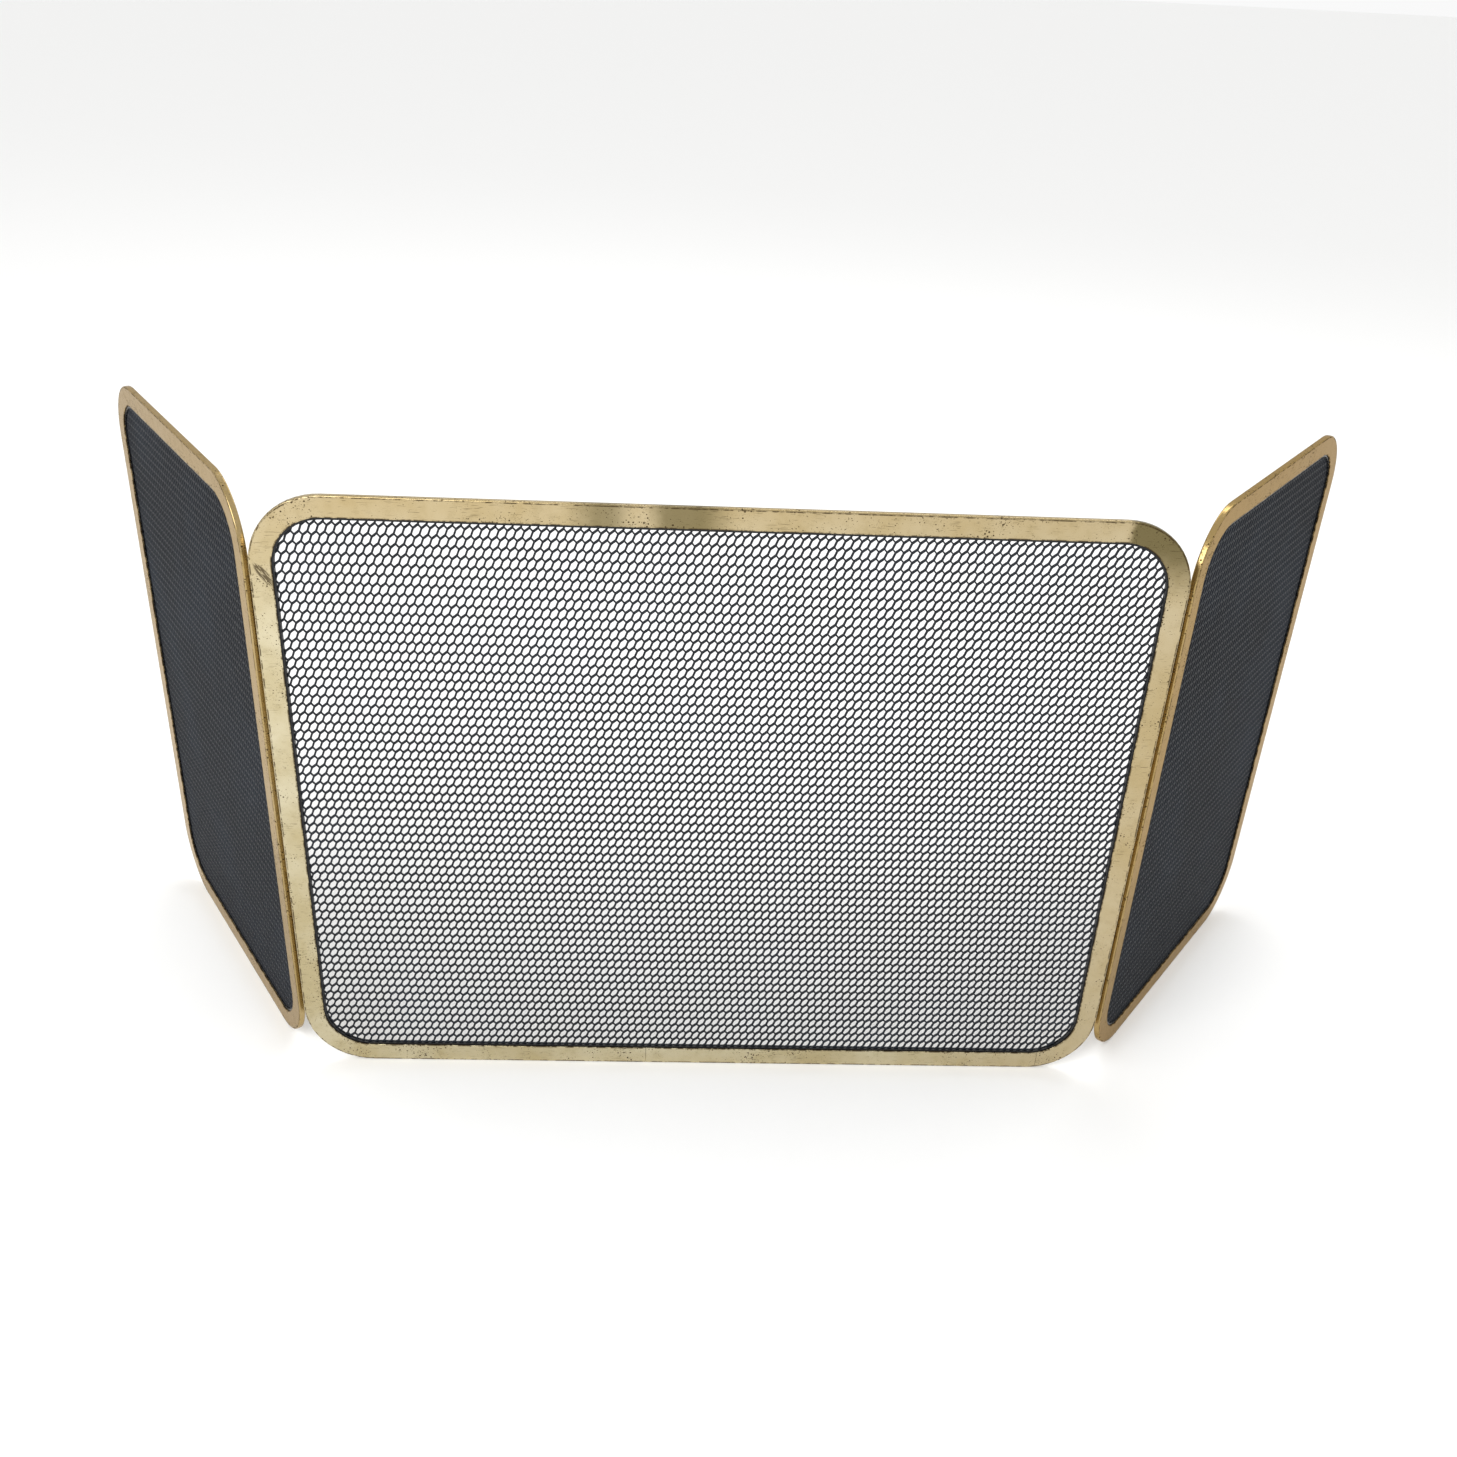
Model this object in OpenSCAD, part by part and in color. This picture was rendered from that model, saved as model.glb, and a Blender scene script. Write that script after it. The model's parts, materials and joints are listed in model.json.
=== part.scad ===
// Three-panel folding fireplace screen: brass channel rims, black wire-mesh infills
// and rear butt hinges. Millimetres, +Z up. The origin is the middle of the centre
// panel's bottom face; the front of the screen looks along -Y.

/* [Panels] */
// Width of the centre panel
centre_w = 660; // [560:1:820]
// Width of each wing
wing_w = 320; // [240:1:400]
// Height of all three panels
panel_h = 498; // [400:1:650]
// Outer radius of the panel corners
corner_r = 53; // [36:1:70]

/* [Stance] */
// How far the left wing is folded back from flat, in degrees
left_fold = 57.5; // [0:0.5:90]
// How far the right wing is folded back from flat, in degrees
right_fold = 51; // [0:0.5:90]

/* [Rim] */
// Width of the brass channel seen from the front
rim_w = 16; // [12:0.5:24]
// Depth of the channel from front to rear
rim_t = 5; // [4:0.5:8]
// Sheet thickness of the channel
rim_wall = 1; // [0.8:0.1:1.2]
// Rounding of the channel's two outer arrises
arris_r = 1.2; // [0.4:0.1:1.4]
// Rounding of the channel's two inner lips
lip_r = 0.4; // [0.2:0.1:0.4]
// Distance of the left butt joint from the middle of the bottom rail
left_seam = 49; // [20:1:120]
// Distance of the right butt joint from the middle of the bottom rail
right_seam = 285; // [180:1:300]
// Distance of a wing's butt joint from its hinge-side edge
wing_seam = 136; // [80:1:180]
// Width of each butt joint
seam_gap = 0.3; // [0.1:0.1:0.6]
// Length of the splice inside each butt joint
splice_len = 30; // [16:1:40]

/* [Mesh] */
// Thickness of the wire mesh
mesh_t = 1.2; // [0.8:0.1:2]
// How far the black edging shows inside the rim
edging_show = 1.6; // [1:0.1:4]
// How far the black edging reaches into the rim
edging_grip = 8; // [6:0.5:10]

/* [Hinges] */
// Height of a hinge
hinge_h = 70; // [40:1:90]
// Distance of a hinge's middle from the panel's top or bottom edge
hinge_inset = 102; // [90:1:150]
// Width of a leaf from the pin's axis
leaf_w = 13; // [11:0.5:15]
// Thickness of a leaf
leaf_t = 1; // [0.8:0.1:1]
// Outer radius of the knuckles
knuckle_r = 2; // [2:0.1:3]
// Radius of the hinge pin
pin_r = 0.95; // [0.7:0.05:0.95]
// Gap between a wing and the centre panel when they stand flat
panel_gap = 0.6; // [0.5:0.1:2]
// How far the pins' axes stand in from the centre panel's edges
pin_set = 2; // [0:0.1:2]
// Number of knuckles in a hinge
knuckles = 5; // [3:2:7]

/* [Screws] */
// Head radius of the hinge screws
hinge_head_r = 1.9; // [1.5:0.1:2.2]
// Head radius of the rim screws
rim_head_r = 1.6; // [1.2:0.1:2]
// Head height of all screws
head_h = 0.6; // [0.4:0.1:0.8]
// Number of screws along each rail of the centre panel
centre_rail_screws = 4; // [2:1:6]
// Number of screws along each rail of a wing
wing_rail_screws = 3; // [2:1:4]

/* [Hidden] */
$fn = 96;

brass = "#c2b183";
old_brass = "#8f7c4e";
black = "#2b2f35";
steel = "#8d8f90";

// The pins stand behind the centre panel's stiles, so that no slit shows beside a folded wing.
// The knuckles are lifted off the rear faces; the leaves lie flat on them.
knuckle_lift = 0.3;
hinge_x = centre_w / 2 - pin_set;
hinge_y = rim_t / 2 + knuckle_lift + knuckle_r;
leaf_y = -knuckle_r - knuckle_lift;

// From a pin's axis to the wing's edge
wing_start = pin_set + panel_gap;

// Inside the channel
slot_t = rim_t - 2 * rim_wall;
edging_u = rim_w - edging_grip;
edging_wall = (slot_t - mesh_t) / 2;
mesh_u = edging_u + edging_wall;
edging_in = rim_w + edging_show;

// Hinge clearances
knuckle_gap = 0.2;
leaf_relief = 0.3;
leaf_root = knuckle_r + leaf_relief;
pin_play = 0.05;
pin_tip_h = 0.8;
leaf_corner_r = 2;
knuckle_h = hinge_h / knuckles;
hinge_zs = [panel_h - hinge_inset - hinge_h / 2, hinge_inset - hinge_h / 2];

// Screws: the rim screws pinch the edging against the mesh. The hinge screws stand in the middle of
// a leaf's flat part, and where they meet the edging they stop inside its rear leg, short of the mesh.
hinge_shank_r = 1.1;
rim_shank_r = 0.8;
rim_shank_len = rim_wall + edging_wall;
hinge_bite = edging_wall * 2 / 3;
hinge_shank_len = leaf_t + rim_wall + hinge_bite;
slot_cut_w = 0.5;
slot_cut_h = 0.3;
rim_screw_u = (edging_u + rim_w) / 2;
leaf_screw_x = (leaf_root + leaf_w) / 2;
leaf_screw_zs = [for (i = [0:2]) hinge_h * (1 + 2 * i) / 6];

// ---------------------------------------------------------------- profiles
// Profiles lie with u, inwards from the panel's outer edge, along X and depth along Y.

module channel_profile() {
    lip_u = rim_w - lip_r;
    difference() {
        union() {
            translate([0, -rim_t / 2 + arris_r])
                square([rim_w, rim_t - 2 * arris_r]);
            translate([arris_r, -rim_t / 2])
                square([lip_u - arris_r, rim_t]);
            for (side = [-1, 1]) {
                translate([arris_r, side * (rim_t / 2 - arris_r)])
                    circle(arris_r);
                translate([lip_u, side * (rim_t / 2 - lip_r)])
                    circle(lip_r);
            }
        }
        translate([rim_wall, -slot_t / 2])
            square([rim_w, slot_t]);
    }
}

module edging_profile() {
    difference() {
        translate([edging_u, -slot_t / 2])
            square([edging_in - edging_u, slot_t]);
        translate([mesh_u, -mesh_t / 2])
            square([edging_in, mesh_t]);
    }
}

module splice_profile() {
    translate([rim_wall, -slot_t / 2])
        square([edging_u - rim_wall, slot_t]);
}

// A profile carried round a rectangle of w by h that has corners of radius corner_r.
module ring(w, h) {
    r = corner_r;
    long = w - 2 * r;
    tall = h - 2 * r;
    translate([0, 0, r])
        linear_extrude(tall) children();
    translate([w, 0, h - r])
        rotate([0, 180, 0])
            linear_extrude(tall) children();
    translate([r, 0, h])
        rotate([0, 90, 0])
            linear_extrude(long) children();
    translate([w - r, 0, 0])
        rotate([0, -90, 0])
            linear_extrude(long) children();
    centres = [[w - r, r], [r, r], [r, h - r], [w - r, h - r]];
    for (k = [0:3])
        translate([centres[k][0], 0, centres[k][1]])
            rotate([0, 90 * k, 0])
                rotate([-90, 0, 0])
                    rotate_extrude(angle = 90)
                        translate([r, 0])
                            mirror([1, 0])
                                children();
}

// ------------------------------------------------------------ panel pieces
// A panel stands on z = 0 with its left edge at x = 0 and its middle plane at y = 0.

// A slab across the bottom rail, from x0 to x1.
module bottom_slab(x0, x1) {
    translate([x0, -rim_t, -1])
        cube([x1 - x0, 2 * rim_t, rim_w + corner_r]);
}

module seam_cut(x) {
    bottom_slab(x - seam_gap / 2, x + seam_gap / 2);
}

module splice(w, x) {
    intersection() {
        ring(w, panel_h) splice_profile();
        bottom_slab(x - splice_len / 2, x + splice_len / 2);
    }
}

module mesh_sheet(w) {
    r = corner_r - mesh_u;
    wide = w - 2 * mesh_u;
    tall = panel_h - 2 * mesh_u;
    translate([mesh_u, mesh_t / 2, mesh_u])
        rotate([90, 0, 0])
            linear_extrude(mesh_t) {
                translate([r, 0]) square([wide - 2 * r, tall]);
                translate([0, r]) square([wide, tall - 2 * r]);
                for (x = [r, wide - r], z = [r, tall - r])
                    translate([x, z]) circle(r);
            }
}

// Where the rim screws sit: along both rails, and one at mid-height of each stile.
function rail_xs(w, n) = [for (i = [0:n - 1]) corner_r + (w - 2 * corner_r) * (i + 0.5) / n];
function rim_screw_places(w, n) = concat(
    [for (x = rail_xs(w, n), z = [rim_screw_u, panel_h - rim_screw_u]) [x, z]],
    [for (x = [rim_screw_u, w - rim_screw_u]) [x, panel_h / 2]]
);

// A screw driven forwards (-Y) from a face at y = 0.
module screw(head_r, shank_r, shank_len) {
    rotate([-90, 0, 0])
        difference() {
            union() {
                cylinder(h = head_h, r = head_r);
                translate([0, 0, -shank_len]) cylinder(h = shank_len, r = shank_r);
            }
            translate([-head_r, -slot_cut_w / 2, head_h - slot_cut_h])
                cube([2 * head_r, slot_cut_w, head_h]);
        }
}

module rim_screws(w, n) {
    for (p = rim_screw_places(w, n))
        translate([p[0], rim_t / 2, p[1]])
            screw(rim_head_r, rim_shank_r, rim_shank_len);
}

module rim_screw_holes(w, n) {
    for (p = rim_screw_places(w, n))
        translate([p[0], rim_t / 2, p[1]])
            rotate([90, 0, 0]) cylinder(h = rim_shank_len, r = rim_shank_r);
}

module edging(w, n) {
    difference() {
        ring(w, panel_h) edging_profile();
        rim_screw_holes(w, n);
    }
}

// ------------------------------------------------------------ hinge pieces
// A leaf reaches along +X from the pin's axis and lies on a face at y = leaf_y.

module leaf_screw_holes() {
    for (z = leaf_screw_zs)
        translate([leaf_screw_x, leaf_y + leaf_t, z])
            rotate([90, 0, 0]) cylinder(h = hinge_shank_len, r = hinge_shank_r);
}

module leaf_screws() {
    for (z = leaf_screw_zs)
        translate([leaf_screw_x, leaf_y + leaf_t, z])
            screw(hinge_head_r, hinge_shank_r, hinge_shank_len);
}

// first is 0 for the leaf that has the end knuckles and 1 for the leaf between them.
module leaf(first, bore_r) {
    difference() {
        union() {
            translate([leaf_root, leaf_y, leaf_corner_r])
                cube([leaf_w - leaf_root, leaf_t, hinge_h - 2 * leaf_corner_r]);
            translate([leaf_root, leaf_y, 0])
                cube([leaf_w - leaf_corner_r - leaf_root, leaf_t, hinge_h]);
            for (z = [leaf_corner_r, hinge_h - leaf_corner_r])
                translate([leaf_w - leaf_corner_r, leaf_y + leaf_t, z])
                    rotate([90, 0, 0]) cylinder(h = leaf_t, r = leaf_corner_r);
            for (i = [first:2:knuckles - 1]) {
                low = i * knuckle_h + (i == 0 ? 0 : knuckle_gap / 2);
                high = (i + 1) * knuckle_h - (i == knuckles - 1 ? 0 : knuckle_gap / 2);
                translate([0, 0, low]) cylinder(h = high - low, r = knuckle_r);
                translate([0, -knuckle_r, low]) cube([leaf_root, leaf_t, high - low]);
            }
        }
        translate([0, 0, -1]) cylinder(h = hinge_h + 2, r = bore_r);
        leaf_screw_holes();
    }
}

module hinge_pin() {
    cylinder(h = hinge_h, r = pin_r);
    for (end = [0, 1])
        translate([0, 0, end * hinge_h])
            mirror([0, 0, 1 - end])
                rotate_extrude()
                    intersection() {
                        square([knuckle_r, pin_tip_h]);
                        translate([0, pin_tip_h - knuckle_r]) circle(knuckle_r);
                    }
}

// ------------------------------------------------------------ placing
// Shapes for the left side are the right side's, mirrored.

module on_side(side) {
    mirror([side < 0 ? 1 : 0, 0, 0]) children();
}

// Local frame of a wing: the pin's axis at x = y = 0 and the wing along +X.
module in_wing(side) {
    fold = side < 0 ? left_fold : right_fold;
    on_side(side)
        translate([hinge_x, hinge_y, 0])
            rotate([0, 0, fold])
                children();
}

// A wing's panel pieces, drawn as a panel that starts at its hinge-side edge.
module wing_panel(side) {
    in_wing(side)
        translate([wing_start, -hinge_y, 0])
            children();
}

// The centre panel's pieces, drawn as a panel that starts at its left edge.
module centre_panel() {
    translate([-centre_w / 2, 0, 0]) children();
}

// Leaves of the centre panel point back from the axis towards the panel's middle.
module centre_leaf_place(side) {
    on_side(side)
        translate([hinge_x, hinge_y, 0])
            mirror([1, 0, 0])
                children();
}

module centre_hinge_holes() {
    for (side = [-1, 1], z = hinge_zs)
        centre_leaf_place(side)
            translate([0, 0, z]) leaf_screw_holes();
}

module wing_hinge_holes(side) {
    in_wing(side)
        for (z = hinge_zs)
            translate([0, 0, z]) leaf_screw_holes();
}

// ------------------------------------------------------------ centre nodes

module whole_centre_rim() {
    difference() {
        centre_panel()
            difference() {
                ring(centre_w, panel_h) channel_profile();
                rim_screw_holes(centre_w, centre_rail_screws);
            }
        centre_hinge_holes();
    }
}

module centre_rim() {
    color(brass)
        difference() {
            whole_centre_rim();
            bottom_slab(-left_seam - seam_gap / 2, right_seam + seam_gap / 2);
        }
}

module centre_rim_closing_piece() {
    color(brass)
        intersection() {
            whole_centre_rim();
            bottom_slab(-left_seam + seam_gap / 2, right_seam - seam_gap / 2);
        }
}

module centre_splices() {
    color(old_brass)
        centre_panel() {
            splice(centre_w, centre_w / 2 - left_seam);
            splice(centre_w, centre_w / 2 + right_seam);
        }
}

module centre_mesh_edging() {
    color(black)
        difference() {
            centre_panel() edging(centre_w, centre_rail_screws);
            centre_hinge_holes();
        }
}

module centre_mesh() {
    color(black) centre_panel() mesh_sheet(centre_w);
}

module centre_rim_screws() {
    color(steel) centre_panel() rim_screws(centre_w, centre_rail_screws);
}

// ------------------------------------------------------------ wing nodes

module wing_rim(side) {
    color(brass)
        difference() {
            wing_panel(side)
                difference() {
                    ring(wing_w, panel_h) channel_profile();
                    rim_screw_holes(wing_w, wing_rail_screws);
                    seam_cut(wing_seam);
                }
            wing_hinge_holes(side);
        }
}

module wing_splice(side) {
    color(old_brass) wing_panel(side) splice(wing_w, wing_seam);
}

module wing_edging(side) {
    color(black)
        difference() {
            wing_panel(side) edging(wing_w, wing_rail_screws);
            wing_hinge_holes(side);
        }
}

module wing_mesh(side) {
    color(black) wing_panel(side) mesh_sheet(wing_w);
}

module wing_rim_screws(side) {
    color(steel) wing_panel(side) rim_screws(wing_w, wing_rail_screws);
}

module left_wing_rim() wing_rim(-1);
module left_wing_splice() wing_splice(-1);
module left_wing_mesh_edging() wing_edging(-1);
module left_wing_mesh() wing_mesh(-1);
module left_wing_rim_screws() wing_rim_screws(-1);
module right_wing_rim() wing_rim(1);
module right_wing_splice() wing_splice(1);
module right_wing_mesh_edging() wing_edging(1);
module right_wing_mesh() wing_mesh(1);
module right_wing_rim_screws() wing_rim_screws(1);

// ------------------------------------------------------------ hinge nodes
// level is 0 for the upper hinge and 1 for the lower one.

module centre_leaf(side, level) {
    color(old_brass)
        centre_leaf_place(side)
            translate([0, 0, hinge_zs[level]]) leaf(0, pin_r);
}

module wing_leaf(side, level) {
    color(old_brass)
        in_wing(side)
            translate([0, 0, hinge_zs[level]]) leaf(1, pin_r + pin_play);
}

module pin(side, level) {
    color(steel)
        on_side(side)
            translate([hinge_x, hinge_y, hinge_zs[level]]) hinge_pin();
}

module left_upper_hinge_centre_leaf() centre_leaf(-1, 0);
module left_upper_hinge_wing_leaf() wing_leaf(-1, 0);
module left_upper_hinge_pin() pin(-1, 0);
module left_lower_hinge_centre_leaf() centre_leaf(-1, 1);
module left_lower_hinge_wing_leaf() wing_leaf(-1, 1);
module left_lower_hinge_pin() pin(-1, 1);
module right_upper_hinge_centre_leaf() centre_leaf(1, 0);
module right_upper_hinge_wing_leaf() wing_leaf(1, 0);
module right_upper_hinge_pin() pin(1, 0);
module right_lower_hinge_centre_leaf() centre_leaf(1, 1);
module right_lower_hinge_wing_leaf() wing_leaf(1, 1);
module right_lower_hinge_pin() pin(1, 1);

module centre_hinge_screws() {
    color(steel)
        for (side = [-1, 1], z = hinge_zs)
            centre_leaf_place(side)
                translate([0, 0, z]) leaf_screws();
}

module wing_hinge_screws(side) {
    color(steel)
        in_wing(side)
            for (z = hinge_zs)
                translate([0, 0, z]) leaf_screws();
}

module left_wing_hinge_screws() wing_hinge_screws(-1);
module right_wing_hinge_screws() wing_hinge_screws(1);

centre_rim();
centre_rim_closing_piece();
centre_splices();
centre_mesh_edging();
centre_mesh();
centre_rim_screws();
left_wing_rim();
left_wing_splice();
left_wing_mesh_edging();
left_wing_mesh();
left_wing_rim_screws();
right_wing_rim();
right_wing_splice();
right_wing_mesh_edging();
right_wing_mesh();
right_wing_rim_screws();
left_upper_hinge_centre_leaf();
left_upper_hinge_wing_leaf();
left_upper_hinge_pin();
left_lower_hinge_centre_leaf();
left_lower_hinge_wing_leaf();
left_lower_hinge_pin();
right_upper_hinge_centre_leaf();
right_upper_hinge_wing_leaf();
right_upper_hinge_pin();
right_lower_hinge_centre_leaf();
right_lower_hinge_wing_leaf();
right_lower_hinge_pin();
centre_hinge_screws();
left_wing_hinge_screws();
right_wing_hinge_screws();
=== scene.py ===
"""Folding fireplace screen: three brass-rimmed panels of black wire net, on a pale studio floor."""

import json
import math

import bpy
from bpy.props import FloatProperty, FloatVectorProperty, PointerProperty
from mathutils import Matrix, Vector


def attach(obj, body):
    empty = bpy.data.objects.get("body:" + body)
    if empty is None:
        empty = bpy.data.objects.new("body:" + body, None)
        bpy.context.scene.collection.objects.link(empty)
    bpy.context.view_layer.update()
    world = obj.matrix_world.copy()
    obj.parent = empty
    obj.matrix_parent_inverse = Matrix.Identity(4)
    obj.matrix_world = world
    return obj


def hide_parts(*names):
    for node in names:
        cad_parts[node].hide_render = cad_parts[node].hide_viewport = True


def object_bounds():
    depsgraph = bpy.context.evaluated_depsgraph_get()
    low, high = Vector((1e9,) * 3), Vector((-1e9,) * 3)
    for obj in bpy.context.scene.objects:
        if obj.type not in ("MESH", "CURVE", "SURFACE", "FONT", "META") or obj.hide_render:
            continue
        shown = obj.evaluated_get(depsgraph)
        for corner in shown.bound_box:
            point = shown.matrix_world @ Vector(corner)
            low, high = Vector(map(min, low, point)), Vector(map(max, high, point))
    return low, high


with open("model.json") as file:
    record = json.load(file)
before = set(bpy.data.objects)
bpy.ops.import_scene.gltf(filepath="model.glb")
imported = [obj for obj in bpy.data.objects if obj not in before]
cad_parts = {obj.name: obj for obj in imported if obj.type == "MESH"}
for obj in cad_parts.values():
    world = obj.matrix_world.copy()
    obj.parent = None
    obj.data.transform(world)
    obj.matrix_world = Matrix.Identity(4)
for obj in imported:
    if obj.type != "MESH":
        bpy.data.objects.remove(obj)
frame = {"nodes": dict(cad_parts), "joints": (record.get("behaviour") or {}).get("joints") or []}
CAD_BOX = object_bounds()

bl_info = {
    "name": "Folding Fireplace Screen",
    "version": (1, 0, 0),
    "blender": (4, 5, 0),
    "location": "3D View > Sidebar > Fire Screen",
    "description": "Makes the wire nets and finishes the brass of a three-fold fireplace screen",
    "category": "Object",
}

MM = 0.001
MERGE = 0.02 * MM
JOINTS = {joint["name"]: joint for joint in frame["joints"]}
PANELS = {"centre_panel": "centre", "left_wing": "left_wing", "right_wing": "right_wing"}

# How much each panel's rim has browned all over, from 0 to 1, and how much of that its gloss takes on
BROWNNESS = {"centre_panel": 0.0, "left_wing": 0.7, "right_wing": 0.9}
GLOSS_TINT = 0.6

# Width of the rims' front face, in millimetres
RIM_WIDTH = 16.0

# Painted dark reflections on the centre rim, in millimetres from the panel's middle: where each starts, is
# full, stops being full and ends across the panel, the same four going up, and its strength. Their edges
# sway.
CENTRE_DARK_REFLECTIONS = (
    ((277, 284, 340, 341), (182, 232, 260, 261), 0.95),
    ((-117, -88, -84, -62), (226, 231, 260, 261), 0.7),
    ((-60, -42, -20, 9), (226, 231, 260, 261), 0.8),
)
DARK_REFLECTION_SWAY = 9.0

# The scuff on the left stile: its middle, its half width and half length in millimetres, and its slant
SCUFF_MIDDLE = (-320.0, 0.0, 190.0)
SCUFF_HALF = (3.5, 11)
SCUFF_SLANT = math.radians(35)
SCRATCH_SLANT = math.radians(38)

STEEL, RUST = "#A5A29C", "#6B543E"
ENAMEL, DUSTY_ENAMEL = "#08090B", "#16181B"

# The lights' sides and places, in metres. The floor lies a hair below the feet.
KEY_SIDES, KEY_PLACE = (2.4, 1.8), (-1.6, -2.2, 2.6)
RIM_LIGHT_SIDES, RIM_LIGHT_PLACE = (2.6, 0.6), (0.6, 1.8, 2.4)
FLOOR_DROP = 0.1 * MM
SENSOR_WIDTH = 36
NEAREST_SEEN = 0.02


def linear(hex_colour):
    """The linear red, green and blue of an sRGB hex colour."""
    parts = [int(hex_colour[i:i + 2], 16) / 255 for i in (1, 3, 5)]
    return [c / 12.92 if c <= 0.04045 else ((c + 0.055) / 1.055) ** 2.4 for c in parts]


# ---------------------------------------------------------------- where the panels are


class Panel:
    """One panel of the screen: its box when the screen is opened flat, and its turn to the rest pose."""

    def __init__(self, name):
        self.turn = Matrix.Identity(4)
        if name != "centre_panel":
            joint = JOINTS[name + "_fold"]
            hinge = Matrix.Translation(joint["pos_m"])
            flat = min(joint["range_deg"], key=abs)
            fold = Matrix.Rotation(math.radians(-flat), 4, Vector(joint["axis"]))
            self.turn = hinge @ fold @ hinge.inverted()
        rims = [node for node in frame["nodes"] if node.startswith(PANELS[name] + "_rim")]
        rims = [node for node in rims if not node.endswith("screws")]
        back = self.turn.inverted()
        points = [back @ v.co for node in rims for v in frame["nodes"][node].data.vertices]
        low = Vector([min(p[i] for p in points) for i in range(3)])
        high = Vector([max(p[i] for p in points) for i in range(3)])
        self.middle = (low + high) / 2
        self.half = (high - low) / 2

    def place(self):
        """From the panel's own axes, about its middle, to where it stands."""
        return self.turn @ Matrix.Translation(self.middle)


# ---------------------------------------------------------------- sizes and colours a user may change


class NetSettings(bpy.types.PropertyGroup):
    """The wire net and its paint."""

    pitch: FloatProperty(
        name="Pitch", description="From one opening to the next along its length",
        default=9.9 * MM, min=4 * MM, unit="LENGTH")
    column: FloatProperty(
        name="Column", description="From one column of openings to the next",
        default=5.6 * MM, min=3 * MM, unit="LENGTH")
    opening_length: FloatProperty(
        name="Opening Length", description="Length of an opening",
        default=8.75 * MM, min=2 * MM, unit="LENGTH")
    opening_width: FloatProperty(
        name="Opening Width", description="Width of an opening at its middle",
        default=5.15 * MM, min=1 * MM, unit="LENGTH")
    squeeze: FloatProperty(
        name="Squeeze", description="How far the net is drawn together sideways, which makes it steeper",
        default=0.78, min=0.4, max=1)
    thickness: FloatProperty(
        name="Thickness", description="Thickness of the net",
        default=1.2 * MM, min=0.2 * MM, unit="LENGTH")
    cut_depth: FloatProperty(
        name="Cut Depth", description="How far inside the panel's outer edge the net is cut off",
        default=13.2 * MM, min=1 * MM, unit="LENGTH")
    corner_radius: FloatProperty(
        name="Corner Radius", description="Radius of the panels' corners, at their outer edge",
        default=53 * MM, min=20 * MM, unit="LENGTH")
    # Both colours of the net carry a painted blue tint that stands in for the sky's reflection on the
    # black wire
    paint: FloatVectorProperty(
        name="Paint", description="Black heat-proof paint", subtype="COLOR",
        default=linear("#12161D"), min=0, max=1)
    dusty_sky_tinted_paint: FloatVectorProperty(
        name="Dusty Paint", description="The paint where dust and ash have settled", subtype="COLOR",
        default=linear("#1C232D"), min=0, max=1)


class BrassSettings(bpy.types.PropertyGroup):
    """The brass of the rims and hinges."""

    polished: FloatVectorProperty(
        name="Polished", description="Clean polished brass", subtype="COLOR",
        default=linear("#CCC2A4"), min=0, max=1)
    mellow: FloatVectorProperty(
        name="Mellow", description="Brass that has mellowed with age", subtype="COLOR",
        default=linear("#BCAE88"), min=0, max=1)
    # Olive tarnish; the painted dark reflections on the centre rim take this colour too
    tarnish: FloatVectorProperty(
        name="Tarnish", description="Olive smoke tarnish", subtype="COLOR",
        default=linear("#6E6342"), min=0, max=1)
    dirt: FloatVectorProperty(
        name="Dirt", description="Brown dirt in pits, scratches and along edges", subtype="COLOR",
        default=linear("#3F301D"), min=0, max=1)
    wing: FloatVectorProperty(
        name="Wing", description="Browner brass of the wings", subtype="COLOR",
        default=linear("#A88C5C"), min=0, max=1)
    hinge: FloatVectorProperty(
        name="Hinge", description="Unpolished brass of the hinge leaves", subtype="COLOR",
        default=linear("#A08A55"), min=0, max=1)


class StageSettings(bpy.types.PropertyGroup):
    """The floor, the lights and the camera."""

    floor_side: FloatProperty(
        name="Floor Side", description="Side of the square floor",
        default=60.0, min=5, unit="LENGTH")
    floor_colour: FloatVectorProperty(
        name="Floor Colour", description="Pale floor", subtype="COLOR",
        default=linear("#F7F7F6"), min=0, max=1)
    sky: FloatProperty(
        name="Surrounding Light", description="Strength of the even light from all round",
        default=0.95, min=0)
    key: FloatProperty(
        name="Key Light", description="Power of the large light at the front left",
        default=64.0, min=0, unit="POWER")
    rim_light: FloatProperty(
        name="Rim Light", description="Power of the long light high behind the screen",
        default=18.0, min=0, unit="POWER")
    lens: FloatProperty(
        name="Lens", description="Focal length of the camera on a 36 mm sensor",
        default=35.41, min=10, unit="CAMERA")
    eye: FloatVectorProperty(
        name="Eye", description="Place of the camera", subtype="TRANSLATION",
        default=(-0.0456, -0.9281, 0.8422), unit="LENGTH")
    aim: FloatVectorProperty(
        name="Aim", description="Turn of the camera about its X, Y and Z axes", subtype="EULER",
        default=[math.radians(angle) for angle in (60.878, -2.604, -1.789)], unit="ROTATION")


# ---------------------------------------------------------------- making materials


def add(tree, kind, output, inputs, **settings):
    """Adds a node with its settings, gives its inputs values or other nodes' outputs, and returns one
    of its outputs, or the node itself where output is None."""
    node = tree.nodes.new("ShaderNode" + kind)
    for name, value in settings.items():
        setattr(node, name, value)
    for name, value in inputs.items():
        if isinstance(value, bpy.types.NodeSocket):
            tree.links.new(value, node.inputs[name])
        else:
            node.inputs[name].default_value = value
    return node if output is None else node.outputs[output]


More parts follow.
